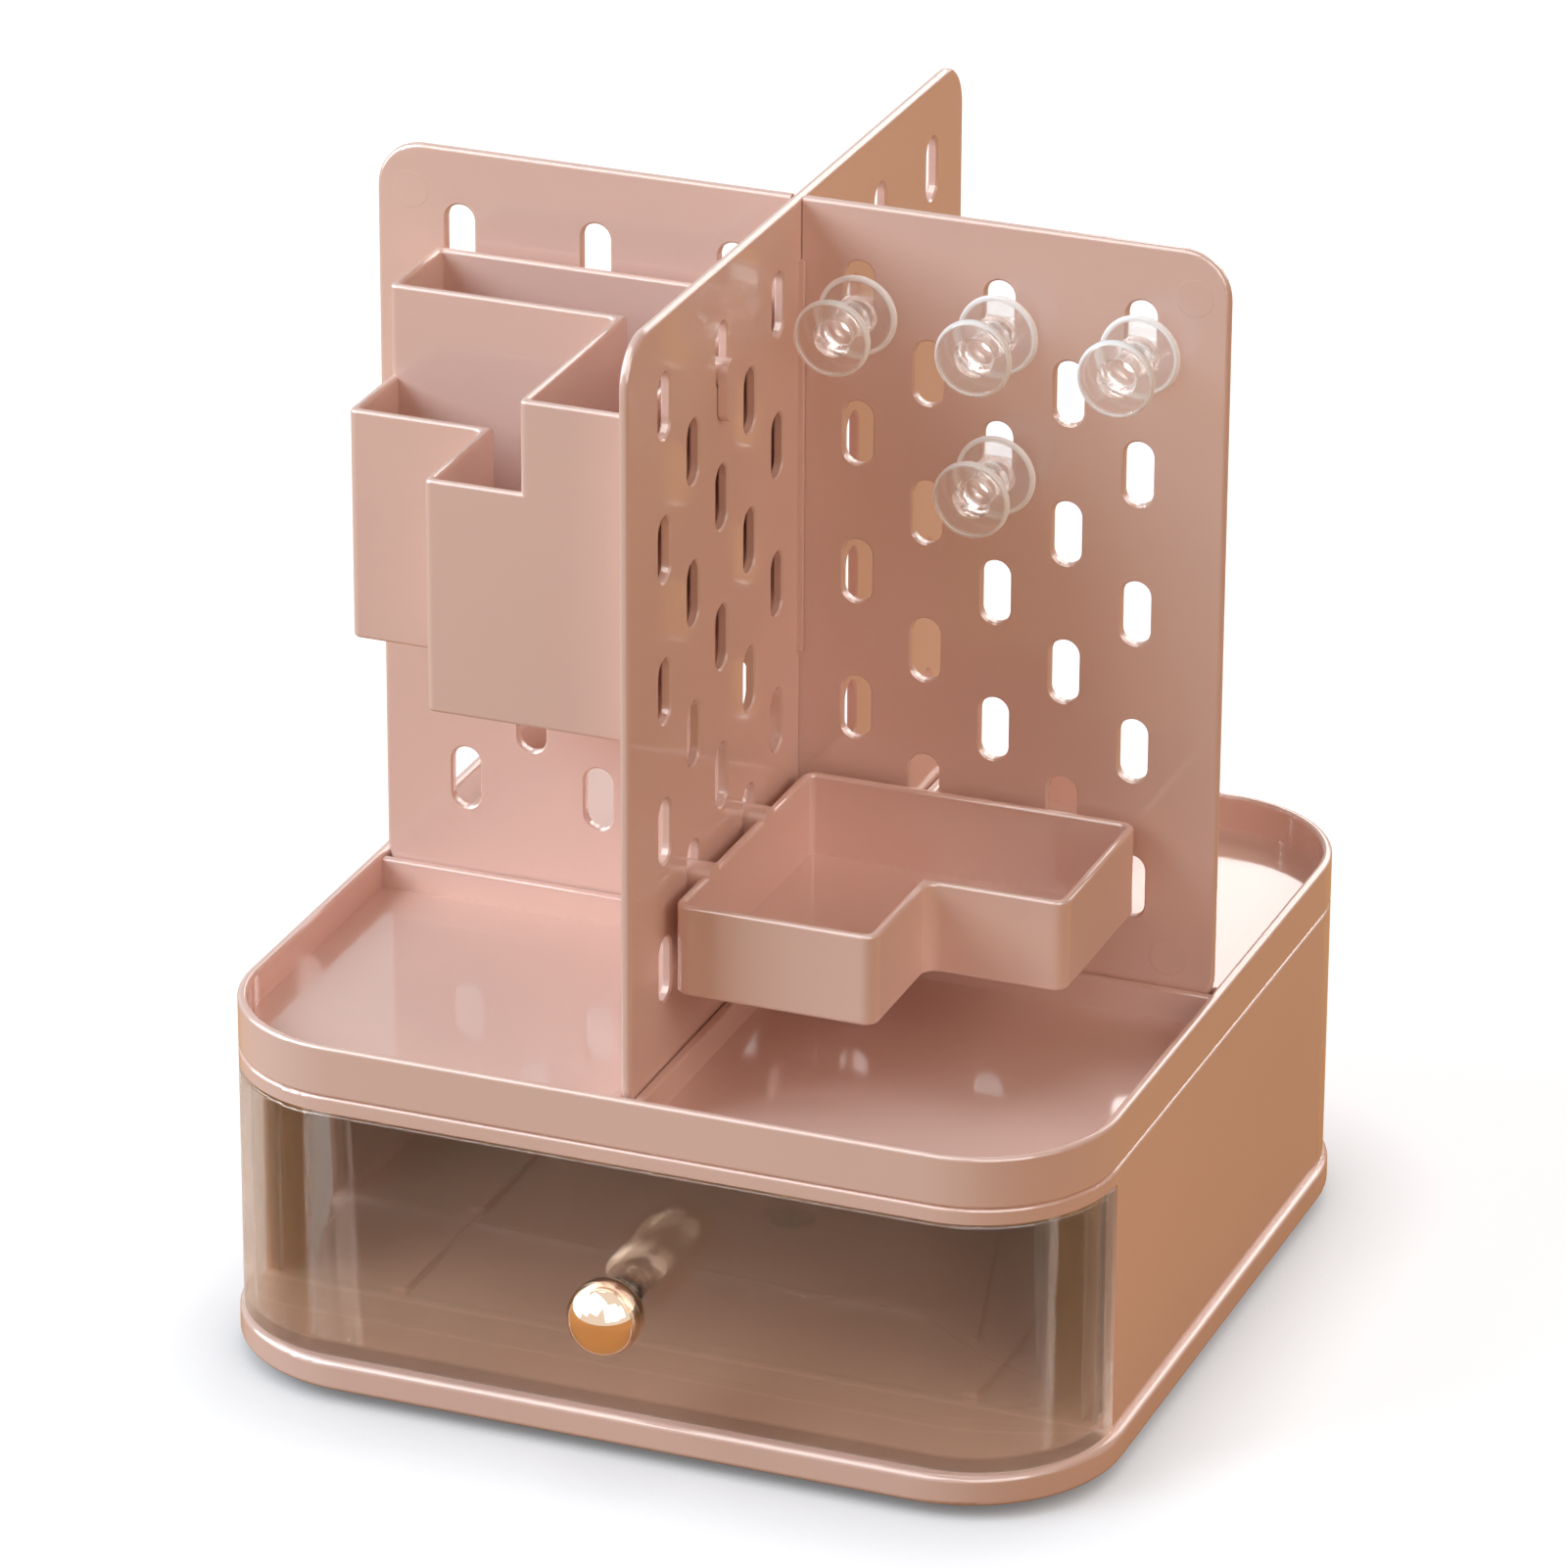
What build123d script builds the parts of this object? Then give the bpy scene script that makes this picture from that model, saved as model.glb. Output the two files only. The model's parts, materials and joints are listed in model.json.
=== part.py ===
from build123d import *
import math
import os

# Rotating desk organizer: a cabinet with a clear drawer turns on a ball-bearing foot and carries two
# crossed pegboards. Millimetres, +Z up from the desk, -Y is the drawer side, origin on the turning axis.

os.makedirs("parts", exist_ok=True)

# Foot and turntable
pad_inset = 3.0
pad_thickness = 1.0
foot_inset = 13.0
foot_plate = 1.8
foot_round = 0.6
race_radius = 56.0
race_width = 9.0
lower_race_height = 1.5
upper_race_height = 1.1
ball_radius = 1.5
ball_count = 12
groove_depth = 0.6
race_clearance = 0.05
cage_width = 6.0
cage_gap = 0.2
boss_radius = 7.0
boss_height = 1.0
hub_radius = 12.0
hub_gap = 0.2
hub_web = 1.6
counterbore_radius = 6.0
pivot_radius = 2.0
pivot_clearance = 0.05
pivot_head_radius = 4.5
pivot_head_height = 2.0
pivot_end_cover = 0.5
washer_radius = 5.25
washer_thickness = 0.8
washer_gap = 0.05

# Cabinet
side = 180.0
corner_radius = 28.0
wall = 2.2
wall_height = 56.5
top_plate = 2.2
strip_height = 3.2
seam_round = 0.8
pan_proud = 1.5
pan_corner_extra = 3.5
pan_height = 6.2
pan_skirt = 2.2
pan_round = 1.2
deck = 2.0
lip_thickness = 1.2
lip_height = 2.0
lip_clear = 0.15
glide_spacing = 120.0
glide_width = 3.0
glide_height = 0.8
glide_clear = 0.2
post_radius = 3.5
post_overlap = 0.6

# Screws and their holes
thread_clearance = 0.02
screw_hole_clear = 0.1
cross_width = 0.8
cross_share = 1.2
cross_depth = 0.9
shell_screw_radius = 1.5
shell_screw_head_radius = 3.0
shell_screw_head_height = 2.0
shell_screw_grip = 8.0
tray_screw_radius = 1.4
tray_screw_head_radius = 2.8
tray_screw_head_height = 1.8
tray_screw_inset = 30.0
tray_screw_cover = 0.8
tray_boss_radius = 4.0

# Tray on the cabinet and its channels for the boards
tray_skirt = 1.5
tray_floor = 2.0
tray_depth = 7.1
rim = 2.0
rim_round = 0.85
channel_gap = 0.25
channel_rib = 2.0
channel_rib_height = 6.2
channel_round = 0.5

# Pegboards
panel_thickness = 2.1
panel_height = 158.8
panel_corner = 9.5
panel_round = 0.9
panel_end_gap = 0.3
slot_width = 6.0
slot_height = 13.0
slot_bevel = 0.4
columns_per_side = 5
first_column = 13.0
column_margin = 17.5
first_row = 26.1
row_pitch = 28.7
row_margin = 7.0
lap_clear = 0.2
guide_rib_width = 1.2
guide_rib_height = 81.0
guide_rib_proud = 1.0
guide_rib_drop = 12.5

# Pieces that hang on the boards
seat_gap = 0.3
hook_side_gap = 0.5
leg_gap = 0.2
leg_thickness = 1.8
box_offset = 3.5
pen_leg = 70.6
pen_low_arm = 42.8
pen_high_arm = 23.3
pen_high_height = 66.0
pen_low_height = 47.3
pen_wall = 1.8
pen_floor = 1.8
pen_corner = 1.6
pen_inner_corner = 0.6
pen_rim_round = 0.8
pen_column_index = 2
pen_hook_extra = 0.6
pen_hook_rise = 0.9
tray_leg = 69.0
tray_arm = 41.0
tray_height = 18.7
tray_wall = 1.8
tray_base = 1.8
tray_corner = 3.0
tray_rim_round = 0.8
tray_column_indices = (1, 3)
tray_hook_extra = 3.6
tray_hook_rise = 1.85
box_base_round = 0.8

# Clear twist hooks
hook_gap = 0.15
shank_radius = 2.0
flange_radius = 8.1
flange_thickness = 1.4
stem_base_radius = 4.2
stem_neck_radius = 2.6
stem_end_radius = 3.8
knob_back = 14.2
knob_disc_radius = 7.75
knob_disc_thickness = 2.2
knob_disc_dome = 0.7
foot_bar_length = 11.0
foot_bar_width = 4.6
foot_bar_thickness = 1.8
hook_column_indices = (0, 2, 4, 2)
hook_rows_from_top = (0, 0, 0, 1)

# Drawer
front_gap = 0.5
end_gap = 0.4
front_wall = 2.2
front_round = 0.6
tub_wall = 1.8
tub_floor = 2.0
tub_height = 44.4
tub_side_clear = 0.65
tub_rear_gap = 1.0
tub_rear_radius = 10.0
tub_rim_round = 0.5
knob_radius = 7.5
knob_neck_radius = 3.4
knob_stand_off = 0.6
knob_drop = 1.65
knob_screw_radius = 1.6
knob_screw_head_radius = 3.4
knob_screw_head_height = 1.8
knob_screw_reach = 8.0
knob_bore_spare = 0.5

# Half height of the band in which edges of one level are picked
hair = 0.01

# Heights above the desk
z_foot_top = pad_thickness + foot_plate
z_lower_race = z_foot_top + lower_race_height
z_ball = z_lower_race + ball_radius - groove_depth
z_upper_race = z_ball + ball_radius - groove_depth
z_deck_under = z_upper_race + upper_race_height
z_deck = z_deck_under + deck
z_pan = z_deck - pan_height
z_hub = z_foot_top + boss_height + hub_gap
z_counterbore = z_hub + hub_web
z_washer = z_counterbore + washer_gap
z_pivot_head = z_washer + washer_thickness
z_pivot_end = pad_thickness + pivot_end_cover
z_shell_top = z_deck + wall_height
z_plate = z_shell_top - top_plate
z_tray_floor = z_shell_top + tray_skirt + tray_floor
z_channel_top = z_tray_floor + channel_rib_height
z_panel_top = z_tray_floor + panel_height
z_lap = z_tray_floor + panel_height / 2
z_front = z_deck + front_gap
z_front_top = z_shell_top - strip_height - front_gap
z_tub = z_deck + glide_height + glide_clear
z_tub_floor = z_tub + tub_floor
z_tub_top = z_tub + tub_height
z_knob = (z_front + z_front_top) / 2 - knob_drop

# Plan values of the cabinet and drawer
half = side / 2
straight = half - corner_radius
foot_radius = half - foot_inset
pad_radius = foot_radius - pad_inset
pan_side = side + 2 * pan_proud
pan_corner = corner_radius + pan_corner_extra
inner_side = side - 2 * wall
inner_corner = corner_radius - wall
groove_radius = ball_radius + race_clearance
post_offset = straight + (inner_corner - post_radius + post_overlap) / math.sqrt(2)
post_points = [(-post_offset, post_offset), (post_offset, post_offset)]
tray_screw_offset = half - tray_screw_inset
tray_screw_points = [(sx * tray_screw_offset, sy * tray_screw_offset) for sx in (-1, 1) for sy in (-1, 1)]
lip_offset = half - wall - lip_clear - lip_thickness / 2
lip_length = 2 * straight - 2 * wall
tub_half = half - wall - lip_clear - lip_thickness - tub_side_clear
tub_back = post_offset - post_radius - tub_rear_gap
front_end = -straight - end_gap
flange_front = front_end - tub_wall

# Plan values of the tray and the boards
recess_side = side - 2 * rim
recess_corner = corner_radius - rim
panel_half = recess_side / 2 - panel_end_gap
panel_face = panel_thickness / 2
channel_inner = panel_face + channel_gap
channel_outer = channel_inner + channel_rib
lap_width = panel_thickness + 2 * lap_clear

# Slot pattern: columns in from the middle, every second column half a row higher
column_pitch = (panel_half - column_margin - first_column) / (columns_per_side - 1)
row_span = panel_height - row_margin - slot_height / 2 - first_row
full_rows = int(row_span / row_pitch) + 1
shifted_rows = int((row_span - row_pitch / 2) / row_pitch) + 1
slot_points = []
for column in range(columns_per_side):
    offset = first_column + column * column_pitch
    shifted = column % 2
    row_count = shifted_rows if shifted else full_rows
    for row in range(row_count):
        height = z_tray_floor + first_row + (row + shifted / 2) * row_pitch
        slot_points.append((offset, height))
        slot_points.append((-offset, height))
z_top_row = z_tray_floor + first_row + (full_rows - 1) * row_pitch
z_first_shifted_row = z_tray_floor + first_row + row_pitch / 2

# Hanging hooks of the pen box and the corner tray
hook_width = slot_width - 2 * hook_side_gap
leg_height = slot_height - 2 * seat_gap
leg_face = panel_face + leg_gap
leg_outer = leg_face + leg_thickness
pen_column = first_column + pen_column_index * column_pitch
tray_columns = [first_column + index * column_pitch for index in tray_column_indices]
pen_arm_height = hook_width + pen_hook_extra
tray_arm_height = hook_width + tray_hook_extra
z_pen_arm = z_top_row - slot_height / 2 + seat_gap
z_tray_arm = z_first_shifted_row - slot_height / 2 + seat_gap
z_pen_top = z_pen_arm + pen_arm_height - pen_hook_rise
z_pen = z_pen_top - pen_high_height
z_pen_low_top = z_pen + pen_low_height
z_corner_tray = z_tray_arm + tray_arm_height - tray_hook_rise - tray_height

# Twist hooks: distances from the middle plane of the board
flange_back = panel_face + hook_gap
flange_front_face = flange_back + flange_thickness
flange_edge = flange_thickness / 2
knob_edge = knob_disc_thickness / 2
knob_disc_front = knob_back + knob_disc_thickness
hook_drop = slot_height / 2 - shank_radius - seat_gap
hook_points = [
    (first_column + index * column_pitch, z_top_row - row * row_pitch - hook_drop)
    for index, row in zip(hook_column_indices, hook_rows_from_top)
]

# Drawer knob
knob_centre = -half - knob_stand_off - knob_radius
knob_inside = front_wall - half


def corner_plan(x_sign, leg, arm, inset):
    """L-shaped plan in a front corner of the crossed boards, drawn in by inset on every side."""
    near = box_offset + inset
    far = box_offset + leg - inset
    elbow = box_offset + arm - inset
    plan = [(near, near), (far, near), (far, elbow), (elbow, elbow), (elbow, far), (near, far)]
    return [(x_sign * x, -y) for x, y in plan]


def screw_cross(radius):
    """Two bars of a cross recess for a screw head of this radius."""
    Rectangle(radius * cross_share, cross_width)
    Rectangle(cross_width, radius * cross_share)


# Rubber pad on the desk
with BuildPart() as anti_slip_pad:
    with BuildSketch():
        Circle(pad_radius)
    extrude(amount=pad_thickness)
anti_slip_pad.part.label = "anti_slip_pad"
export_step(anti_slip_pad.part, "parts/anti_slip_pad.step")

# Foot with the lower ball race and the boss for the pivot screw
with BuildPart() as turntable_foot:
    with BuildSketch(Plane.XY.offset(pad_thickness)):
        Circle(foot_radius)
    extrude(amount=foot_plate)
    fillet(turntable_foot.edges().group_by(Axis.Z)[-1], foot_round)
    with BuildSketch(Plane.XY.offset(z_foot_top)):
        Circle(race_radius + race_width / 2)
        Circle(race_radius - race_width / 2, mode=Mode.SUBTRACT)
    extrude(amount=lower_race_height)
    with Locations((0, 0, z_ball)):
        Torus(race_radius, groove_radius, mode=Mode.SUBTRACT)
    with BuildSketch(Plane.XY.offset(z_foot_top)):
        Circle(boss_radius)
    extrude(amount=boss_height)
    with BuildSketch(Plane.XY.offset(z_pivot_end)):
        Circle(pivot_radius + thread_clearance)
    extrude(amount=z_hub - z_pivot_end, mode=Mode.SUBTRACT)
turntable_foot.part.label = "turntable_foot"
export_step(turntable_foot.part, "parts/turntable_foot.step")

# Cage that spaces the balls
with BuildPart() as ball_cage:
    with BuildSketch(Plane.XY.offset(z_lower_race + cage_gap)):
        Circle(race_radius + cage_width / 2)
        Circle(race_radius - cage_width / 2, mode=Mode.SUBTRACT)
        with PolarLocations(race_radius, ball_count):
            Circle(ball_radius + race_clearance, mode=Mode.SUBTRACT)
    extrude(amount=z_upper_race - z_lower_race - 2 * cage_gap)
ball_cage.part.label = "ball_cage"
export_step(ball_cage.part, "parts/ball_cage.step")

# Steel balls
with BuildPart() as bearing_balls:
    with Locations((0, 0, z_ball)):
        with PolarLocations(race_radius, ball_count):
            Sphere(ball_radius)
bearing_balls.part.label = "bearing_balls"
export_step(bearing_balls.part, "parts/bearing_balls.step")

# Pivot washer and screw
with BuildPart() as pivot_washer:
    with BuildSketch(Plane.XY.offset(z_washer)):
        Circle(washer_radius)
        Circle(pivot_radius + pivot_clearance, mode=Mode.SUBTRACT)
    extrude(amount=washer_thickness)
pivot_washer.part.label = "pivot_washer"
export_step(pivot_washer.part, "parts/pivot_washer.step")

with BuildPart() as pivot_screw:
    with BuildSketch(Plane.XY.offset(z_pivot_end)):
        Circle(pivot_radius)
    extrude(amount=z_pivot_head - z_pivot_end)
    with BuildSketch(Plane.XY.offset(z_pivot_head)):
        Circle(pivot_head_radius)
    extrude(amount=pivot_head_height)
    with BuildSketch(Plane.XY.offset(z_pivot_head + pivot_head_height)):
        screw_cross(pivot_head_radius)
    extrude(amount=-cross_depth, mode=Mode.SUBTRACT)
pivot_screw.part.label = "pivot_screw"
export_step(pivot_screw.part, "parts/pivot_screw.step")

# Pan that carries the cabinet, with the upper ball race under its deck
with BuildPart() as base_pan:
    with BuildSketch(Plane.XY.offset(z_pan)):
        RectangleRounded(pan_side, pan_side, pan_corner)
    extrude(amount=pan_height)
    pan_edges = base_pan.edges().group_by(Axis.Z)
    fillet(pan_edges[0] + pan_edges[-1], pan_round)
    with BuildSketch(Plane.XY.offset(z_pan)):
        RectangleRounded(pan_side - 2 * pan_skirt, pan_side - 2 * pan_skirt, pan_corner - pan_skirt)
    extrude(amount=pan_height - deck, mode=Mode.SUBTRACT)
    with BuildSketch(Plane.XY.offset(z_upper_race)):
        Circle(race_radius + race_width / 2)
        Circle(race_radius - race_width / 2, mode=Mode.SUBTRACT)
    extrude(amount=upper_race_height)
    with Locations((0, 0, z_ball)):
        Torus(race_radius, groove_radius, mode=Mode.SUBTRACT)
    with BuildSketch(Plane.XY.offset(z_hub)):
        Circle(hub_radius)
    extrude(amount=z_deck - z_hub)
    with BuildSketch(Plane.XY.offset(z_counterbore)):
        Circle(counterbore_radius)
    extrude(amount=z_deck - z_counterbore, mode=Mode.SUBTRACT)
    with BuildSketch(Plane.XY.offset(z_hub)):
        Circle(pivot_radius + pivot_clearance)
    extrude(amount=hub_web, mode=Mode.SUBTRACT)
    # Lips that locate the walls
    with BuildSketch(Plane.XY.offset(z_deck)):
        with Locations((-lip_offset, 0), (lip_offset, 0)):
            Rectangle(lip_thickness, lip_length)
        with Locations((0, lip_offset)):
            Rectangle(lip_length, lip_thickness)
    extrude(amount=lip_height)
    # Glide ribs under the drawer
    with BuildSketch(Plane.XY.offset(z_deck)):
        with Locations((-glide_spacing / 2, 0), (glide_spacing / 2, 0)):
            Rectangle(glide_width, lip_length)
    extrude(amount=glide_height)
    with BuildSketch(Plane.XY.offset(z_deck_under)):
        with Locations(*post_points):
            Circle(shell_screw_radius + screw_hole_clear)
    extrude(amount=deck, mode=Mode.SUBTRACT)
base_pan.part.label = "base_pan"
export_step(base_pan.part, "parts/base_pan.step")

# Walls and top plate of the cabinet, open at the front
with BuildPart() as cabinet_shell:
    with BuildSketch(Plane.XY.offset(z_deck)):
        RectangleRounded(side, side, corner_radius)
    extrude(amount=wall_height)
    fillet(cabinet_shell.edges().group_by(Axis.Z)[-1], seam_round)
    with BuildSketch(Plane.XY.offset(z_deck)):
        RectangleRounded(inner_side, inner_side, inner_corner)
    extrude(amount=wall_height - top_plate, mode=Mode.SUBTRACT)
    with BuildSketch(Plane.XY.offset(z_deck)):
        with Locations((0, -half)):
            Rectangle(side, 2 * corner_radius)
    extrude(amount=wall_height - strip_height, mode=Mode.SUBTRACT)
    # Corner posts for the screws from below
    with BuildSketch(Plane.XY.offset(z_deck)):
        with Locations(*post_points):
            Circle(post_radius)
    extrude(amount=wall_height - top_plate)
    with BuildSketch(Plane.XY.offset(z_deck)):
        with Locations(*post_points):
            Circle(shell_screw_radius + thread_clearance)
    extrude(amount=shell_screw_grip, mode=Mode.SUBTRACT)
    with BuildSketch(Plane.XY.offset(z_plate)):
        with Locations(*tray_screw_points):
            Circle(tray_screw_radius + screw_hole_clear)
    extrude(amount=top_plate, mode=Mode.SUBTRACT)
cabinet_shell.part.label = "cabinet_shell"
export_step(cabinet_shell.part, "parts/cabinet_shell.step")

# Screws from the pan into the corner posts
with BuildPart() as shell_screws:
    with BuildSketch(Plane.XY.offset(z_deck_under)):
        with Locations(*post_points):
            Circle(shell_screw_radius)
    extrude(amount=deck + shell_screw_grip)
    with BuildSketch(Plane.XY.offset(z_deck_under)):
        with Locations(*post_points):
            Circle(shell_screw_head_radius)
    extrude(amount=-shell_screw_head_height)
    with BuildSketch(Plane.XY.offset(z_deck_under - shell_screw_head_height)):
        with Locations(*post_points):
            screw_cross(shell_screw_head_radius)
    extrude(amount=cross_depth, mode=Mode.SUBTRACT)
shell_screws.part.label = "shell_screws"
export_step(shell_screws.part, "parts/shell_screws.step")

# Tray on top of the cabinet
tray_screw_grip = tray_skirt + tray_floor - tray_screw_cover
with BuildPart() as top_tray:
    with BuildSketch(Plane.XY.offset(z_shell_top)):
        RectangleRounded(side, side, corner_radius)
    extrude(amount=tray_skirt + tray_floor + tray_depth)
    fillet(top_tray.edges().group_by(Axis.Z)[0], seam_round)
    with BuildSketch(Plane.XY.offset(z_tray_floor)):
        RectangleRounded(recess_side, recess_side, recess_corner)
    extrude(amount=tray_depth, mode=Mode.SUBTRACT)
    fillet(top_tray.edges().group_by(Axis.Z)[-1], rim_round)
    with BuildSketch(Plane.XY.offset(z_shell_top)):
        RectangleRounded(inner_side, inner_side, inner_corner)
        with Locations(*tray_screw_points):
            Circle(tray_boss_radius, mode=Mode.SUBTRACT)
    extrude(amount=tray_skirt, mode=Mode.SUBTRACT)
    with BuildSketch(Plane.XY.offset(z_shell_top)):
        with Locations(*tray_screw_points):
            Circle(tray_screw_radius + thread_clearance)
    extrude(amount=tray_screw_grip, mode=Mode.SUBTRACT)
    # Cross of channel ribs that holds the boards
    with BuildSketch(Plane.XY.offset(z_tray_floor)):
        Rectangle(2 * channel_outer, recess_side + rim)
        Rectangle(recess_side + rim, 2 * channel_outer)
        Rectangle(2 * channel_inner, recess_side + rim, mode=Mode.SUBTRACT)
        Rectangle(recess_side + rim, 2 * channel_inner, mode=Mode.SUBTRACT)
    extrude(amount=channel_rib_height)
    channel_edges = top_tray.edges().filter_by_position(Axis.Z, z_channel_top - hair, z_channel_top + hair)
    fillet(channel_edges.filter_by(lambda edge: edge.length > 2 * channel_rib), channel_round)
top_tray.part.label = "top_tray"
export_step(top_tray.part, "parts/top_tray.step")

# Screws from the top plate into the tray bosses
with BuildPart() as tray_screws:
    with BuildSketch(Plane.XY.offset(z_plate)):
        with Locations(*tray_screw_points):
            Circle(tray_screw_radius)
    extrude(amount=top_plate + tray_screw_grip)
    with BuildSketch(Plane.XY.offset(z_plate)):
        with Locations(*tray_screw_points):
            Circle(tray_screw_head_radius)
    extrude(amount=-tray_screw_head_height)
    with BuildSketch(Plane.XY.offset(z_plate - tray_screw_head_height)):
        with Locations(*tray_screw_points):
            screw_cross(tray_screw_head_radius)
    extrude(amount=cross_depth, mode=Mode.SUBTRACT)
tray_screws.part.label = "tray_screws"
export_step(tray_screws.part, "parts/tray_screws.step")

# Board from front to back, slotted from below where the other board crosses it
with BuildPart() as pegboard_long:
    with BuildSketch(Plane.YZ) as long_outline:
        with Locations((0, z_tray_floor)):
            Rectangle(2 * panel_half, panel_height, align=(Align.CENTER, Align.MIN))
        fillet(long_outline.vertices().group_by(Axis.Z)[-1], panel_corner)
    extrude(amount=panel_face, both=True)
    long_rims = pegboard_long.edges().filter_by(Plane.YZ)
    fillet(long_rims.filter_by(lambda edge: edge.center().Z > z_tray_floor), panel_round)
    with BuildSketch(Plane.YZ):
        with Locations((0, z_tray_floor)):
            Rectangle(lap_width, z_lap + lap_clear - z_tray_floor, align=(Align.CENTER, Align.MIN))
    extrude(amount=panel_thickness, both=True, mode=Mode.SUBTRACT)
    with BuildSketch(Plane.YZ):
        with Locations(*slot_points):
            SlotOverall(slot_height, slot_width, rotation=90)
    extrude(amount=panel_thickness, both=True, mode=Mode.SUBTRACT)
    long_slot_rims = pegboard_long.edges(Select.LAST).filter_by(Plane.YZ)
    chamfer(long_slot_rims, slot_bevel)
    # Guide ribs beside the crossing board
    with BuildSketch(Plane.YZ):
        for rib_side in (-1, 1):
            rib_middle = rib_side * (lap_width + guide_rib_width) / 2
            with Locations((rib_middle, z_panel_top - guide_rib_drop)):
                Rectangle(guide_rib_width, guide_rib_height, align=(Align.CENTER, Align.MAX))
    extrude(amount=panel_face + guide_rib_proud, both=True)
pegboard_long.part.label = "pegboard_long"
export_step(pegboard_long.part, "parts/pegboard_long.step")

# Board from side to side, slotted from above
with BuildPart() as pegboard_cross:
    with BuildSketch(Plane.XZ) as cross_outline:
        with Locations((0, z_tray_floor)):
            Rectangle(2 * panel_half, panel_height, align=(Align.CENTER, Align.MIN))
        fillet(cross_outline.vertices().group_by(Axis.Z)[-1], panel_corner)
    extrude(amount=panel_face, both=True)
    cross_rims = pegboard_cross.edges().filter_by(Plane.XZ)
    fillet(cross_rims.filter_by(lambda edge: edge.center().Z > z_tray_floor), panel_round)
    with BuildSketch(Plane.XZ):
        with Locations((0, z_panel_top)):
            Rectangle(lap_width, z_panel_top - z_lap, align=(Align.CENTER, Align.MAX))
    extrude(amount=panel_thickness, both=True, mode=Mode.SUBTRACT)
    with BuildSketch(Plane.XZ):
        with Locations(*slot_points):
            SlotOverall(slot_height, slot_width, rotation=90)
    extrude(amount=panel_thickness, both=True, mode=Mode.SUBTRACT)
    cross_slot_rims = pegboard_cross.edges(Select.LAST).filter_by(Plane.XZ)
    chamfer(cross_slot_rims, slot_bevel)
pegboard_cross.part.label = "pegboard_cross"
export_step(pegboard_cross.part, "parts/pegboard_cross.step")

# Stepped L-shaped pen box that hangs in the front left corner
with BuildPart() as corner_pen_box:
    with BuildSketch(Plane.XY.offset(z_pen)) as pen_low_outline:
        Polygon(*corner_plan(-1, pen_leg, pen_low_arm, 0), align=None)
        fillet(pen_low_outline.vertices(), pen_corner)
    extrude(amount=pen_low_height)
    fillet(corner_pen_box.edges().group_by(Axis.Z)[0], box_base_round)
    with BuildSketch(Plane.XY.offset(z_pen + pen_floor)) as pen_high_outline:
        Polygon(*corner_plan(-1, pen_leg, pen_high_arm, 0), align=None)
        fillet(pen_high_outline.vertices(), pen_corner)
    extrude(amount=pen_high_height - pen_floor)
    with BuildSketch(Plane.XY.offset(z_pen + pen_floor)) as pen_high_cavity:
        Polygon(*corner_plan(-1, pen_leg, pen_high_arm, pen_wall), align=None)
        fillet(pen_high_cavity.vertices(), pen_inner_corner)
    extrude(amount=pen_high_height, mode=Mode.SUBTRACT)
    with BuildSketch(Plane.XY.offset(z_pen + pen_floor)) as pen_low_cavity:
        Polygon(*corner_plan(-1, pen_leg, pen_low_arm, pen_wall), align=None)
        fillet(pen_low_cavity.vertices(), pen_inner_corner)
        Polygon(*corner_plan(-1, pen_leg, pen_high_arm, 0), align=None, mode=Mode.SUBTRACT)
    extrude(amount=pen_low_height, mode=Mode.SUBTRACT)
    fillet(corner_pen_box.edges().group_by(Axis.Z)[-1], pen_rim_round)
    low_rim = corner_pen_box.edges().filter_by_position(Axis.Z, z_pen_low_top - hair, z_pen_low_top + hair)
    fillet(low_rim.filter_by(lambda edge: edge.length > 2 * pen_wall), pen_rim_round)
    # Hook through the long board
    with BuildSketch(Plane.YZ.offset(-box_offset - pen_wall)):
        with Locations((-pen_column, z_pen_arm + pen_arm_height / 2)):
            SlotOverall(pen_arm_height, hook_width, rotation=90)
    extrude(amount=box_offset + pen_wall + leg_outer)
    with BuildSketch(Plane.YZ.offset(leg_face)):
        with Locations((-pen_column, z_pen_arm + pen_arm_height - leg_height / 2)):
            SlotOverall(leg_height, hook_width, rotation=90)
    extrude(amount=leg_thickness)
corner_pen_box.part.label = "corner_pen_box"
export_step(corner_pen_box.part, "parts/corner_pen_box.step")

# Shallow L-shaped tray that hangs in the front right corner
with BuildPart() as corner_tray:
    with BuildSketch(Plane.XY.offset(z_corner_tray)) as tray_outline:
        Polygon(*corner_plan(1, tray_leg, tray_arm, 0), align=None)
        fillet(tray_outline.vertices(), tray_corner)
    extrude(amount=tray_height)
    fillet(corner_tray.edges().group_by(Axis.Z)[0], box_base_round)
    with BuildSketch(Plane.XY.offset(z_corner_tray + tray_base)) as tray_cavity:
        Polygon(*corner_plan(1, tray_leg, tray_arm, tray_wall), align=None)
        fillet(tray_cavity.vertices(), tray_corner - tray_wall)
    extrude(amount=tray_height, mode=Mode.SUBTRACT)
    fillet(corner_tray.edges().group_by(Axis.Z)[-1], tray_rim_round)
    # Hooks through the long board
    with BuildSketch(Plane.YZ.offset(-leg_outer)):
        for tray_column in tray_columns:
            with Locations((-tray_column, z_tray_arm + tray_arm_height / 2)):
                SlotOverall(tray_arm_height, hook_width, rotation=90)
    extrude(amount=leg_outer + box_offset + tray_wall)
    with BuildSketch(Plane.YZ.offset(-leg_outer)):
        for tray_column in tray_columns:
            with Locations((-tray_column, z_tray_arm + tray_arm_height - leg_height / 2)):
                SlotOverall(leg_height, hook_width, rotation=90)
    extrude(amount=leg_thickness)
corner_tray.part.label = "corner_tray"
export_step(corner_tray.part, "parts/corner_tray.step")

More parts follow.
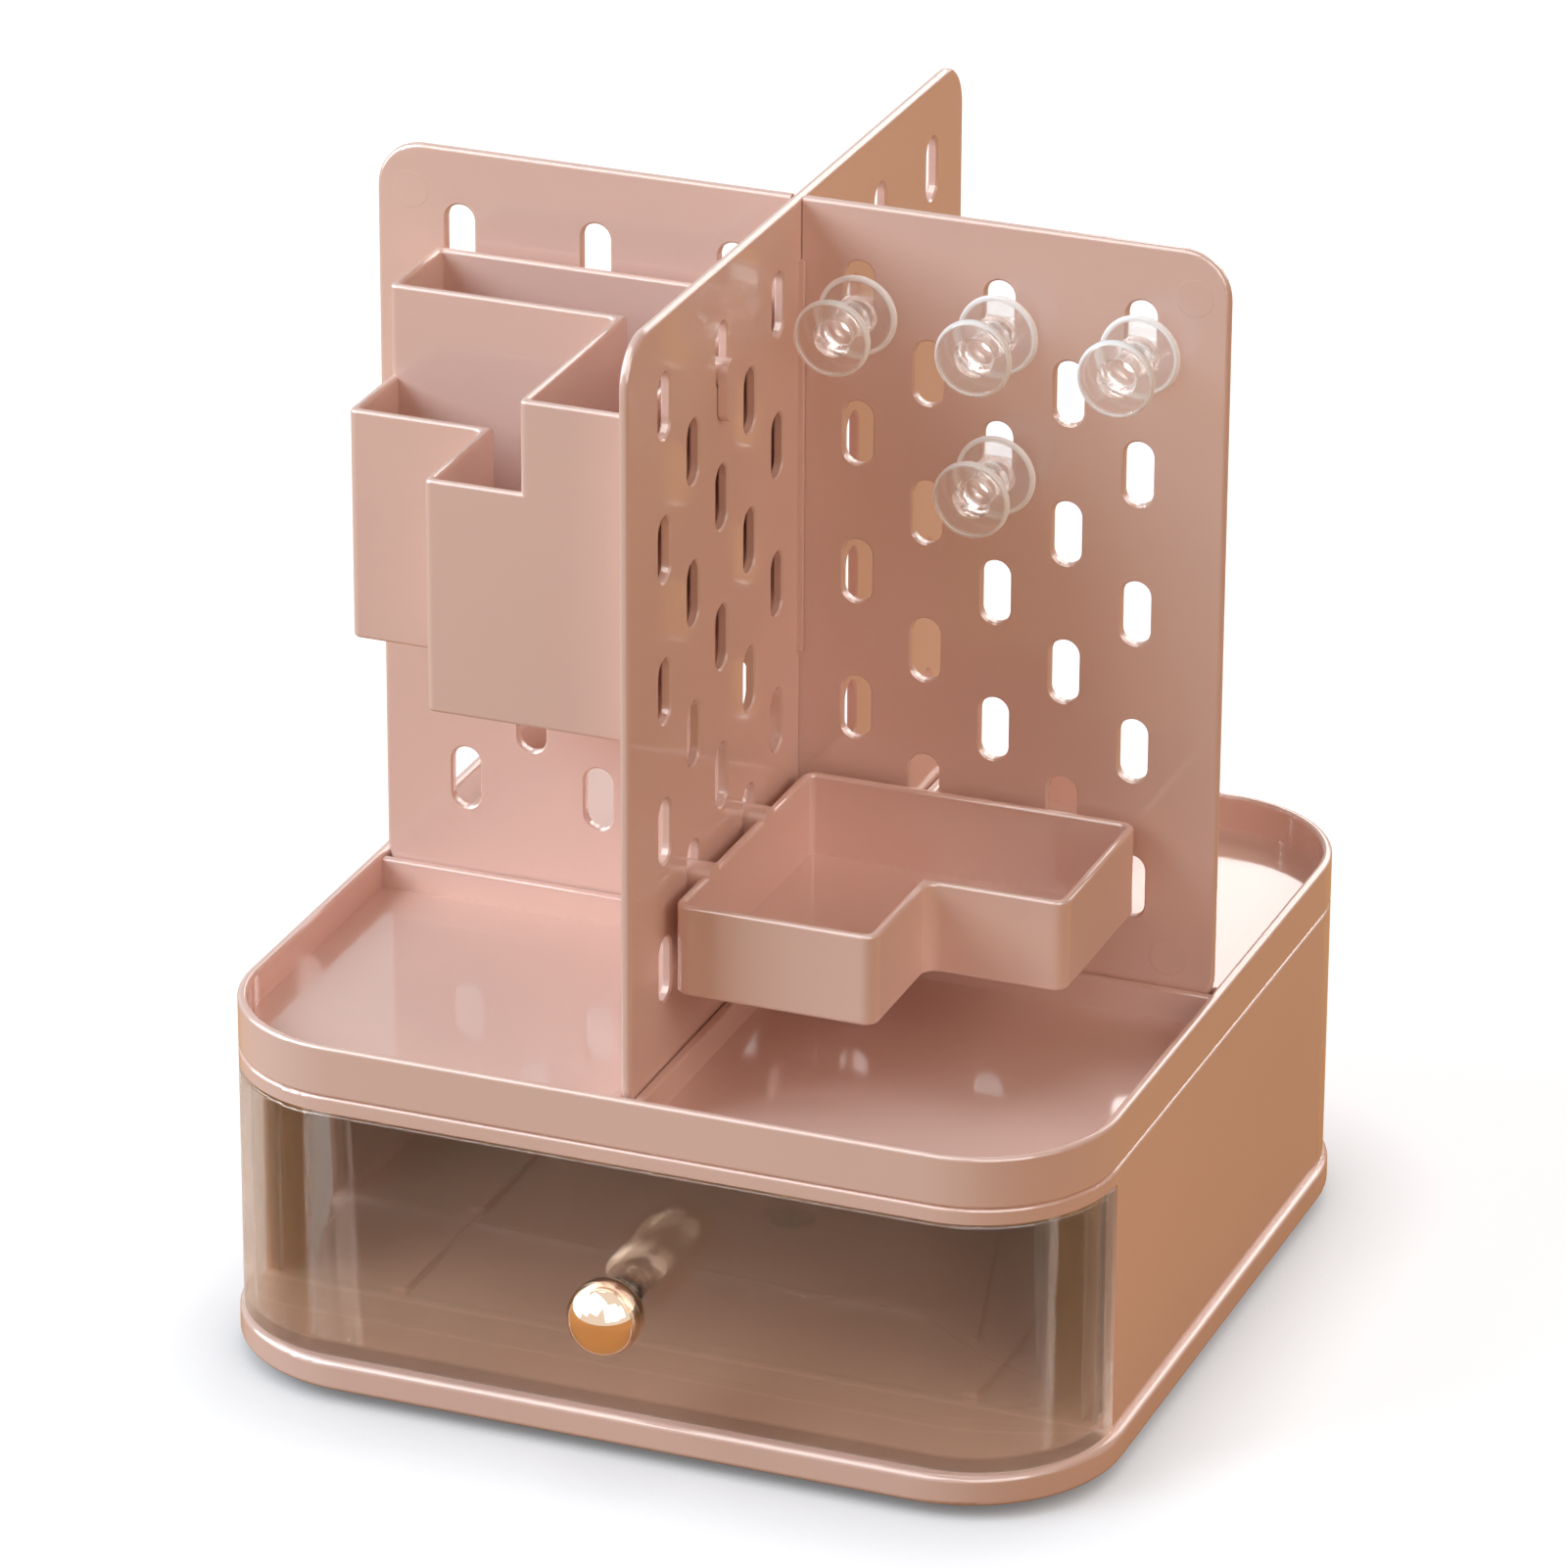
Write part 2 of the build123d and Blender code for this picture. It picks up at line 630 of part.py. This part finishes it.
# Clear mushroom hooks, locked by a quarter turn in a slot of the cross board
for hook_number, (hook_x, hook_z) in enumerate(hook_points, start=1):
    with BuildPart() as peg_hook:
        with BuildSketch(Plane(origin=(hook_x, 0, hook_z), x_dir=(1, 0, 0), z_dir=(0, 0, 1))):
            with BuildLine():
                Polyline(
                    (0, -knob_disc_front - knob_disc_dome),
                    (0, flange_back + foot_bar_thickness / 2),
                    (shank_radius, flange_back + foot_bar_thickness / 2),
                    (shank_radius, -flange_back),
                    (flange_radius - flange_edge, -flange_back),
                )
                ThreePointArc(
                    (flange_radius - flange_edge, -flange_back),
                    (flange_radius, -flange_back - flange_edge),
                    (flange_radius - flange_edge, -flange_front_face),
                )
                Line(
                    (flange_radius - flange_edge, -flange_front_face),
                    (stem_base_radius, -flange_front_face),
                )
                ThreePointArc(
                    (stem_base_radius, -flange_front_face),
                    (stem_neck_radius, -(flange_front_face + knob_back) / 2),
                    (stem_end_radius, -knob_back),
                )
                Line((stem_end_radius, -knob_back), (knob_disc_radius - knob_edge, -knob_back))
                ThreePointArc(
                    (knob_disc_radius - knob_edge, -knob_back),
                    (knob_disc_radius, -knob_back - knob_edge),
                    (knob_disc_radius - knob_edge, -knob_disc_front),
                )
                TangentArc(
                    (0, -knob_disc_front - knob_disc_dome),
                    (knob_disc_radius - knob_edge, -knob_disc_front),
                    tangent=(1, 0),
                )
            make_face()
        revolve(axis=Axis((hook_x, 0, hook_z), (0, 1, 0)))
        with BuildSketch(Plane(origin=(hook_x, flange_back, hook_z), x_dir=(1, 0, 0), z_dir=(0, 1, 0))):
            SlotOverall(foot_bar_length, foot_bar_width)
        extrude(amount=foot_bar_thickness)
    peg_hook.part.label = f"peg_hook_{hook_number}"
    export_step(peg_hook.part, f"parts/peg_hook_{hook_number}.step")

# Clear drawer whose curved front takes both front corners of the cabinet
with BuildPart() as drawer_tub:
    with BuildSketch(Plane.XY.offset(z_front)):
        RectangleRounded(side, side, corner_radius)
        with Locations((0, front_end)):
            Rectangle(side, 2 * side, align=(Align.CENTER, Align.MIN), mode=Mode.SUBTRACT)
    extrude(amount=z_front_top - z_front)
    with BuildSketch(Plane.XY.offset(z_tub)) as tub_outline:
        with Locations((0, flange_front)):
            Rectangle(2 * tub_half, tub_back - flange_front, align=(Align.CENTER, Align.MIN))
        fillet(tub_outline.vertices().group_by(Axis.Y)[-1], tub_rear_radius)
    extrude(amount=tub_height)
    with BuildSketch(Plane.XY.offset(z_tub_floor)):
        RectangleRounded(side - 2 * front_wall, side - 2 * front_wall, corner_radius - front_wall)
        with Locations((0, flange_front)):
            Rectangle(side, 2 * side, align=(Align.CENTER, Align.MIN), mode=Mode.SUBTRACT)
    extrude(amount=z_front_top - z_tub_floor, mode=Mode.SUBTRACT)
    with BuildSketch(Plane.XY.offset(z_tub_floor)) as tub_cavity:
        with Locations((0, flange_front - tub_wall)):
            Rectangle(
                2 * (tub_half - tub_wall),
                tub_back - flange_front,
                align=(Align.CENTER, Align.MIN),
            )
        fillet(tub_cavity.vertices().group_by(Axis.Y)[-1], tub_rear_radius - tub_wall)
    extrude(amount=z_front_top - z_tub_floor, mode=Mode.SUBTRACT)
    with BuildSketch(Plane.XZ.offset(-knob_inside)):
        with Locations((0, z_knob)):
            Circle(knob_screw_radius + screw_hole_clear)
    extrude(amount=front_wall, mode=Mode.SUBTRACT)
    tub_edges = drawer_tub.edges().group_by(Axis.Z)
    front_foot = tub_edges[0].filter_by(lambda edge: edge.center().Y < front_end - hair)
    fillet(front_foot + tub_edges[-1], front_round)
    tub_rim = drawer_tub.edges().filter_by_position(Axis.Z, z_tub_top - hair, z_tub_top + hair)
    fillet(tub_rim.filter_by(lambda edge: edge.length > 2 * tub_wall), tub_rim_round)
drawer_tub.part.label = "drawer_tub"
export_step(drawer_tub.part, "parts/drawer_tub.step")

# Ball knob on a short neck
with BuildPart() as drawer_knob:
    with Locations((0, knob_centre, z_knob)):
        Sphere(knob_radius)
    with BuildSketch(Plane.XZ.offset(half)):
        with Locations((0, z_knob)):
            Circle(knob_neck_radius)
    extrude(amount=knob_stand_off + knob_radius)
    with BuildSketch(Plane.XZ.offset(half)):
        with Locations((0, z_knob)):
            Circle(knob_screw_radius + thread_clearance)
    extrude(amount=knob_screw_reach + knob_bore_spare, mode=Mode.SUBTRACT)
drawer_knob.part.label = "drawer_knob"
export_step(drawer_knob.part, "parts/drawer_knob.step")

# Screw from inside the drawer into the knob
with BuildPart() as knob_screw:
    with BuildSketch(Plane.XZ.offset(-knob_inside)):
        with Locations((0, z_knob)):
            Circle(knob_screw_radius)
    extrude(amount=front_wall + knob_screw_reach)
    with BuildSketch(Plane.XZ.offset(-knob_inside)):
        with Locations((0, z_knob)):
            Circle(knob_screw_head_radius)
    extrude(amount=-knob_screw_head_height)
    with BuildSketch(Plane.XZ.offset(-knob_inside - knob_screw_head_height)):
        with Locations((0, z_knob)):
            screw_cross(knob_screw_head_radius)
    extrude(amount=cross_depth, mode=Mode.SUBTRACT)
knob_screw.part.label = "knob_screw"
export_step(knob_screw.part, "parts/knob_screw.step")
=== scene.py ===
import json
import math

import bpy
from mathutils import Matrix, Vector

# Rotating desk organizer: the finish of every piece, a pale floor, studio light and the photo's camera.
# Lengths are in metres, and colours are linear red, green and blue.

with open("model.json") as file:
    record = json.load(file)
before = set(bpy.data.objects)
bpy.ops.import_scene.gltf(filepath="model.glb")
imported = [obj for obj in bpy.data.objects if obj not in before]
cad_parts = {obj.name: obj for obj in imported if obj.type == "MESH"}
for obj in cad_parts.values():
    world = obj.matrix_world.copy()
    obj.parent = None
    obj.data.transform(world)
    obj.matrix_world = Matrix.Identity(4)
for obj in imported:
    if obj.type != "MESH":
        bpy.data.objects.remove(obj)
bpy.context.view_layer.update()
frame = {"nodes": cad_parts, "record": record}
nodes = frame["nodes"]
scene = bpy.context.scene

# Colours of the finishes, in slow clouds between a darker and a lighter tone
PINK_DARK = (0.74, 0.50, 0.425)
PINK_LIGHT = (0.78, 0.53, 0.45)
FOOT_DARK = (0.50, 0.25, 0.19)
FOOT_LIGHT = (0.55, 0.28, 0.21)
NYLON_DARK = (0.74, 0.72, 0.66)
NYLON_LIGHT = (0.80, 0.78, 0.73)
RUBBER_DARK = (0.012, 0.012, 0.012)
RUBBER_LIGHT = (0.02, 0.02, 0.019)
GOLD_DARK = (0.82, 0.61, 0.44)
GOLD_LIGHT = (0.87, 0.65, 0.48)
STEEL_DARK = (0.60, 0.60, 0.61)
STEEL_LIGHT = (0.70, 0.70, 0.71)
CLEAR_TINT = (0.99, 0.962, 0.928)
HOOK_TINT = (0.95, 0.925, 0.91)
# Colour of the painted highlight on slanted edges of clear plastic and on the hooks' rims
PAINTED_HIGHLIGHT_WHITE = (0.98, 0.96, 0.95)
LIGHTER_TONE = 1.02

# Roughness of the finishes, lowest and highest
PINK_GLOSS = (0.06, 0.11)
FOOT_GLOSS = (0.45, 0.60)
NYLON_GLOSS = (0.35, 0.45)
RUBBER_GLOSS = (0.65, 0.85)
GOLD_GLOSS = (0.03, 0.06)
STEEL_GLOSS = (0.18, 0.30)
CLEAR_GLOSS = (0.012, 0.03)
HOOK_GLOSS = (0.05, 0.10)

# Thin gloss on top: weight and roughness
PINK_COAT = 0.12
GOLD_COAT = 0.3
NO_COAT = 0.0
PLASTIC_COAT_ROUGHNESS = 0.05
METAL_COAT_ROUGHNESS = 0.02

# Clear plastic: specular level, share that refracts, share that passes straight, strength of the painted
# highlight at the edges
CLEAR_IOR = 1.49
CLEAR_SHINE = 0.35
CLEAR_CLARITY = 1.0
CLEAR_THINNESS = 0.4
CLEAR_PAINTED_HIGHLIGHT = 0.5
HOOK_SHINE = 0.20
HOOK_CLARITY = 0.90
HOOK_THINNESS = 0.15
HOOK_PAINTED_HIGHLIGHT = 0.95
HOOK_COUNT = 4
SLANT_BLEND = 0.3
SLANT_START = 0.5
SLANT_FULL = 0.95

# Noise: waves per metre and levels of detail
CLOUDS = (9.0, 3.0)
FLOW = (55.0, 4.0)
WAVES = (24.0, 1.0)
GRAIN = (2600.0, 1.0)
RIPPLES = (45.0, 2.0)
HAZE = (30.0, 3.0)
TONES = (14.0, 3.0)
PLATING = (120.0, 3.0)
SCUFFS = (700.0, 4.0)
NOISE_LOW = 0.3
NOISE_HIGH = 0.7

# Relief: strength and height
WAVE_RELIEF = (0.10, 0.0006)
GRAIN_RELIEF = (0.05, 0.00005)
PIN_RELIEF = (0.35, 0.00012)
RIPPLE_RELIEF = (0.10, 0.0004)
SCUFF_RELIEF = (0.02, 0.00003)

# Marks of the mould's ejector pins on the cross board, as x and z, and the rings of painted highlight
# around the hooks
PIN_RADIUS = 0.0035
PIN_EDGE = 0.0004
PIN_CENTRES = [
    (0.0128, 0.2219),
    (0.0806, 0.2185),
    (0.0783, 0.0813),
    (0.0131, 0.1378),
    (-0.0806, 0.2185),
]
# Inner and outer radius of the ring of painted highlight on each hook
HIGHLIGHT_RING_START = 0.0069
HIGHLIGHT_RING_FULL = 0.0074

# Floor: one colour where it is looked at, a warmer one where it lights the object or shows in its gloss
FLOOR_SIZE = 14.0
FLOOR_ROUGHNESS = 0.9
FLOOR_PLAIN = (0.36, 0.36, 0.37)
FLOOR_BOUNCE = (0.42, 0.26, 0.14)
GLOW_SEEN = (0.77, 0.77, 0.78)
GLOW_MIRRORED = (0.28, 0.12, 0.02)
CONTACT_SHADE = 0.10
CONTACT_REACH = 0.03
CONTACT_SAMPLES = 8

# Room light, warmer from the right, and the white backdrop
ROOM_LEFT = (1.0, 0.95, 0.90)
ROOM_RIGHT = (1.0, 0.56, 0.27)
ROOM_TURN_START = -0.2
ROOM_TURN_END = 0.9
ROOM_STRENGTH = 0.30
BACKDROP = (1.0, 1.0, 1.0)
BACKDROP_STRENGTH = 1.0

# Lamps
LAMP_TARGET = (0.0, 0.0, 0.11)
COOL = (0.73, 0.88, 1.0)
WARM = (1.0, 0.92, 0.85)
NEAR_WHITE = (1.0, 0.98, 0.96)
SHEEN = (1.0, 0.985, 0.97)

# Camera fitted to the photograph
PHOTO_PIXELS = 1601
FOCAL_PIXELS = 8850.928
SENSOR_MM = 36.0
CAMERA_PLACE = (0.568526, -1.453819, 0.791709)
CAMERA_YAW = 21.442
CAMERA_PITCH = 23.746
CAMERA_ROLL = -0.245
CAMERA_REACH = 40.0


# Node helpers

def new_material(name):
    material = bpy.data.materials.new(name)
    material.use_nodes = True
    tree = material.node_tree
    tree.nodes.clear()
    shader = tree.nodes.new("ShaderNodeBsdfPrincipled")
    return material, tree, shader


def show(tree, surface):
    output = tree.nodes.new("ShaderNodeOutputMaterial")
    tree.links.new(surface, output.inputs["Surface"])


def calculate(tree, operation, first, second):
    node = tree.nodes.new("ShaderNodeMath")
    node.operation = operation
    for socket, value in zip(node.inputs, (first, second)):
        if isinstance(value, float):
            socket.default_value = value
        else:
            tree.links.new(value, socket)
    return node.outputs["Value"]


def mixed(tree, share, first, second):
    """The first shader, with a share of the second."""
    node = tree.nodes.new("ShaderNodeMixShader")
    tree.links.new(share, node.inputs["Fac"])
    tree.links.new(first, node.inputs[1])
    tree.links.new(second, node.inputs[2])
    return node.outputs["Shader"]


def object_place(tree):
    return tree.nodes.new("ShaderNodeTexCoord").outputs["Object"]


def noise(tree, place, kind):
    scale, detail = kind
    node = tree.nodes.new("ShaderNodeTexNoise")
    node.inputs["Scale"].default_value = scale
    node.inputs["Detail"].default_value = detail
    tree.links.new(place, node.inputs["Vector"])
    return node.outputs["Fac"]


def spread(tree, value, low, high, start=NOISE_LOW, end=NOISE_HIGH):
    """Runs from low to high while the value runs from start to end."""
    node = tree.nodes.new("ShaderNodeMapRange")
    node.inputs["From Min"].default_value = start
    node.inputs["From Max"].default_value = end
    node.inputs["To Min"].default_value = low
    node.inputs["To Max"].default_value = high
    tree.links.new(value, node.inputs["Value"])
    return node.outputs["Result"]


def tint(tree, value, dark, light):
    node = tree.nodes.new("ShaderNodeMix")
    node.data_type = "RGBA"
    node.inputs["A"].default_value = (*dark, 1.0)
    node.inputs["B"].default_value = (*light, 1.0)
    tree.links.new(value, node.inputs["Factor"])
    return node.outputs["Result"]


def bump(tree, height, relief, normal=None):
    strength, distance = relief
    node = tree.nodes.new("ShaderNodeBump")
    node.inputs["Strength"].default_value = strength
    node.inputs["Distance"].default_value = distance
    tree.links.new(height, node.inputs["Height"])
    if normal is not None:
        tree.links.new(normal, node.inputs["Normal"])
    return node.outputs["Normal"]


def reach(tree, place, centre):
    """Distance from a centre as seen from the front, with depth left out."""
    flat = tree.nodes.new("ShaderNodeVectorMath")
    flat.operation = "MULTIPLY"
    flat.inputs[1].default_value = (1.0, 0.0, 1.0)
    tree.links.new(place, flat.inputs[0])
    node = tree.nodes.new("ShaderNodeVectorMath")
    node.operation = "DISTANCE"
    node.inputs[1].default_value = (centre[0], 0.0, centre[1])
    tree.links.new(flat.outputs["Vector"], node.inputs[0])
    return node.outputs["Value"]


def any_ray(tree, *kinds):
    """One for rays of the named kinds, and zero for all others."""
    light_path = tree.nodes.new("ShaderNodeLightPath")
    total = light_path.outputs[kinds[0]]
    for kind in kinds[1:]:
        total = calculate(tree, "MAXIMUM", total, light_path.outputs[kind])
    return total


# Finishes

def pin_marks(tree, place, centres):
    """Faint round marks of the mould's ejector pins on a board that faces the front."""
    total = None
    for centre in centres:
        disc = spread(tree, reach(tree, place, centre), 1.0, 0.0, PIN_RADIUS, PIN_RADIUS + PIN_EDGE)
        total = disc if total is None else calculate(tree, "ADD", total, disc)
    return total


def moulded_plastic(name, dark, light, gloss, coat, marks=None):
    material, tree, shader = new_material(name)
    place = object_place(tree)
    clouds = spread(tree, noise(tree, place, CLOUDS), 0.0, 1.0)
    tree.links.new(tint(tree, clouds, dark, light), shader.inputs["Base Color"])
    tree.links.new(spread(tree, noise(tree, place, FLOW), *gloss), shader.inputs["Roughness"])
    normal = bump(tree, noise(tree, place, WAVES), WAVE_RELIEF)
    normal = bump(tree, noise(tree, place, GRAIN), GRAIN_RELIEF, normal)
    if marks is not None:
        normal = bump(tree, pin_marks(tree, place, marks), PIN_RELIEF, normal)
    tree.links.new(normal, shader.inputs["Normal"])
    shader.inputs["Coat Weight"].default_value = coat
    shader.inputs["Coat Roughness"].default_value = PLASTIC_COAT_ROUGHNESS
    show(tree, shader.outputs["BSDF"])
    return material


def clear_plastic(name, colour, gloss, shine, clarity, thinness, highlight_strength, axis=None):
    material, tree, shader = new_material(name)
    place = object_place(tree)
    tree.links.new(bump(tree, noise(tree, place, RIPPLES), RIPPLE_RELIEF), shader.inputs["Normal"])
    tree.links.new(spread(tree, noise(tree, place, HAZE), *gloss), shader.inputs["Roughness"])
    tones = spread(tree, noise(tree, place, TONES), 0.0, 1.0)
    pale = tuple(min(1.0, value * LIGHTER_TONE) for value in colour)
    tree.links.new(tint(tree, tones, colour, pale), shader.inputs["Base Color"])
    shader.inputs["Transmission Weight"].default_value = clarity
    shader.inputs["IOR"].default_value = CLEAR_IOR
    shader.inputs["Specular IOR Level"].default_value = shine

    # Lamp light and bounced light pass straight through, as they do through thin clear walls
    passing = tree.nodes.new("ShaderNodeBsdfTransparent")
    passing.inputs["Color"].default_value = (*colour, 1.0)
    lit = any_ray(tree, "Is Shadow Ray", "Is Diffuse Ray")
    through = calculate(tree, "MAXIMUM", lit, thinness)
    body = mixed(tree, through, shader.outputs["BSDF"], passing.outputs["BSDF"])

    # Painted highlight: edges seen at a slant, and rings at the rounded rims of the hooks, are mixed
    # with white for all but shadow and diffuse rays, in place of the light they gather
    slant = tree.nodes.new("ShaderNodeLayerWeight")
    slant.inputs["Blend"].default_value = SLANT_BLEND
    painted_highlight = spread(tree, slant.outputs["Facing"], 0.0, highlight_strength, SLANT_START, SLANT_FULL)
    if axis is not None:
        painted_ring = spread(tree, reach(tree, place, axis), 0.0, highlight_strength, HIGHLIGHT_RING_START, HIGHLIGHT_RING_FULL)
        painted_highlight = calculate(tree, "MAXIMUM", painted_highlight, painted_ring)
    painted_highlight = calculate(tree, "MULTIPLY", painted_highlight, calculate(tree, "SUBTRACT", 1.0, lit))
    white = tree.nodes.new("ShaderNodeBsdfDiffuse")
    white.inputs["Color"].default_value = (*PAINTED_HIGHLIGHT_WHITE, 1.0)
    show(tree, mixed(tree, painted_highlight, body, white.outputs["BSDF"]))
    return material


def hook_plastic(number):
    """Slightly cloudy plastic of one hook, with rings of painted highlight around that hook's own axis.
    """
    corners = [Vector(corner) for corner in nodes[f"peg_hook_{number}"].bound_box]
    centre = sum(corners, Vector()) / len(corners)
    return clear_plastic(
        f"clear_hook_{number}",
        HOOK_TINT,
        HOOK_GLOSS,
        HOOK_SHINE,
        HOOK_CLARITY,
        HOOK_THINNESS,
        HOOK_PAINTED_HIGHLIGHT,
        (centre.x, centre.z),
    )


def plated_metal(name, dark, light, gloss, coat):
    material, tree, shader = new_material(name)
    place = object_place(tree)
    clouds = spread(tree, noise(tree, place, PLATING), 0.0, 1.0)
    scuffs = noise(tree, place, SCUFFS)
    tree.links.new(tint(tree, clouds, dark, light), shader.inputs["Base Color"])
    tree.links.new(spread(tree, scuffs, *gloss), shader.inputs["Roughness"])
    tree.links.new(bump(tree, scuffs, SCUFF_RELIEF), shader.inputs["Normal"])
    shader.inputs["Metallic"].default_value = 1.0
    shader.inputs["Coat Weight"].default_value = coat
    shader.inputs["Coat Roughness"].default_value = METAL_COAT_ROUGHNESS
    show(tree, shader.outputs["BSDF"])
    return material


finish_of_slot = {
    "pink_plastic": moulded_plastic("pink_plastic", PINK_DARK, PINK_LIGHT, PINK_GLOSS, PINK_COAT),
    "foot_plastic": moulded_plastic("foot_plastic", FOOT_DARK, FOOT_LIGHT, FOOT_GLOSS, NO_COAT),
    "cage_plastic": moulded_plastic("cage_plastic", NYLON_DARK, NYLON_LIGHT, NYLON_GLOSS, NO_COAT),
    "rubber_pad": moulded_plastic("rubber_pad", RUBBER_DARK, RUBBER_LIGHT, RUBBER_GLOSS, NO_COAT),
    "clear_plastic": clear_plastic(
        "clear_plastic", CLEAR_TINT, CLEAR_GLOSS, CLEAR_SHINE, CLEAR_CLARITY, CLEAR_THINNESS, CLEAR_PAINTED_HIGHLIGHT
    ),
    "rose_gold": plated_metal("rose_gold", GOLD_DARK, GOLD_LIGHT, GOLD_GLOSS, GOLD_COAT),
    "steel": plated_metal("steel", STEEL_DARK, STEEL_LIGHT, STEEL_GLOSS, NO_COAT),
}
finish_of_node = {
    "pegboard_cross": moulded_plastic(
        "pink_board", PINK_DARK, PINK_LIGHT, PINK_GLOSS, PINK_COAT, PIN_CENTRES
    ),
}
for number in range(1, HOOK_COUNT + 1):
    finish_of_node[f"peg_hook_{number}"] = hook_plastic(number)
for entry in frame["record"]["subparts"]:
    node = entry["node"]
    mesh = nodes[node].data
    mesh.materials.clear()
    mesh.materials.append(finish_of_node.get(node, finish_of_slot[entry["material_slot"]]))


# Pale floor, with painted shade close under the object

def pale_floor():
    material, tree, shader = new_material("white_floor")
    shader.inputs["Roughness"].default_value = FLOOR_ROUGHNESS
    shader.inputs["Specular IOR Level"].default_value = 0.0
    contact = tree.nodes.new("ShaderNodeAmbientOcclusion")
    contact.samples = CONTACT_SAMPLES
    contact.inputs["Distance"].default_value = CONTACT_REACH
    straight = any_ray(tree, "Is Camera Ray", "Is Transmission Ray")
    seen = any_ray(tree, "Is Camera Ray", "Is Transmission Ray", "Is Glossy Ray")
    # Painted shadow: the floor's glow is darkened by ambient occlusion where the object stands close
    # over it
    painted_contact_shade = spread(tree, contact.outputs["AO"], CONTACT_SHADE, 1.0, 0.0, 1.0)
    glow = tree.nodes.new("ShaderNodeEmission")
    tree.links.new(tint(tree, straight, FLOOR_BOUNCE, FLOOR_PLAIN), shader.inputs["Base Color"])
    tree.links.new(tint(tree, straight, GLOW_MIRRORED, GLOW_SEEN), glow.inputs["Color"])
    tree.links.new(calculate(tree, "MULTIPLY", painted_contact_shade, seen), glow.inputs["Strength"])
    both = tree.nodes.new("ShaderNodeAddShader")
    tree.links.new(shader.outputs["BSDF"], both.inputs[0])
    tree.links.new(glow.outputs["Emission"], both.inputs[1])
    show(tree, both.outputs["Shader"])
    return material


bpy.ops.mesh.primitive_plane_add(size=FLOOR_SIZE, location=(0.0, 0.0, 0.0))
floor = bpy.context.object
floor.name = "floor"
floor.data.materials.append(pale_floor())


# World: a white backdrop where it is seen or mirrored, and soft room light for the rest

world = bpy.data.worlds.new("studio")
scene.world = world
world.use_nodes = True
sky = world.node_tree
sky.nodes.clear()
direction = sky.nodes.new("ShaderNodeSeparateXYZ")
sky.links.new(sky.nodes.new("ShaderNodeTexCoord").outputs["Generated"], direction.inputs["Vector"])
sideways = spread(sky, direction.outputs["X"], 0.0, 1.0, ROOM_TURN_START, ROOM_TURN_END)
room = sky.nodes.new("ShaderNodeBackground")
sky.links.new(tint(sky, sideways, ROOM_LEFT, ROOM_RIGHT), room.inputs["Color"])
room.inputs["Strength"].default_value = ROOM_STRENGTH
backdrop = sky.nodes.new("ShaderNodeBackground")
backdrop.inputs["Color"].default_value = (*BACKDROP, 1.0)
backdrop.inputs["Strength"].default_value = BACKDROP_STRENGTH
backdrop_seen = any_ray(sky, "Is Camera Ray", "Is Transmission Ray", "Is Glossy Ray")
sky_output = sky.nodes.new("ShaderNodeOutputWorld")
sky_light = mixed(sky, backdrop_seen, room.outputs["Background"], backdrop.outputs["Background"])
sky.links.new(sky_light, sky_output.inputs["Surface"])


# Soft boxes

def soft_box(name, place, size, watts, colour, sheen_only=False):
    lamp = bpy.data.lights.new(name, "AREA")
    lamp.shape = "RECTANGLE"
    lamp.size = size[0]
    lamp.size_y = size[1]
    lamp.energy = watts
    lamp.color = colour
    lamp_object = bpy.data.objects.new(name, lamp)
    scene.collection.objects.link(lamp_object)
    lamp_object.location = place
    aim = Vector(LAMP_TARGET) - Vector(place)
    lamp_object.rotation_euler = aim.to_track_quat("-Z", "Y").to_euler()
    lamp_object.visible_camera = False
    lamp_object.visible_diffuse = not sheen_only


soft_box("key", (-1.45, -1.15, 1.25), (1.3, 1.3), 46.0, COOL)
soft_box("side_fill", (1.75, -0.70, 1.05), (1.2, 1.2), 11.8, WARM)
soft_box("back_fill", (0.15, 1.60, 1.05), (1.4, 0.8), 15.0, NEAR_WHITE)

# Boxes that only shine in glossy surfaces: bright lines along the rims and the patches in the knob
soft_box("front_sheen", (-0.42, -0.62, 1.00), (1.3, 1.1), 30.0, SHEEN, True)
soft_box("left_sheen", (-1.00, -0.30, 0.55), (0.9, 1.0), 25.0, SHEEN, True)
soft_box("right_sheen", (0.70, -0.80, 0.75), (0.9, 1.1), 20.0, SHEEN, True)
soft_box("back_sheen", (0.65, 1.75, 0.70), (1.2, 0.8), 7.0, SHEEN, True)


# Camera

camera_data = bpy.data.cameras.new("camera")
camera_data.sensor_width = SENSOR_MM
camera_data.lens = FOCAL_PIXELS / PHOTO_PIXELS * SENSOR_MM
camera_data.clip_end = CAMERA_REACH
camera = bpy.data.objects.new("camera", camera_data)
scene.collection.objects.link(camera)
yaw = Matrix.Rotation(math.radians(CAMERA_YAW), 4, "Z")
pitch = Matrix.Rotation(math.pi / 2 - math.radians(CAMERA_PITCH), 4, "X")
roll = Matrix.Rotation(-math.radians(CAMERA_ROLL), 4, "Z")
camera.matrix_world = Matrix.Translation(CAMERA_PLACE) @ yaw @ pitch @ roll
scene.camera = camera

scene.view_settings.view_transform = "Standard"
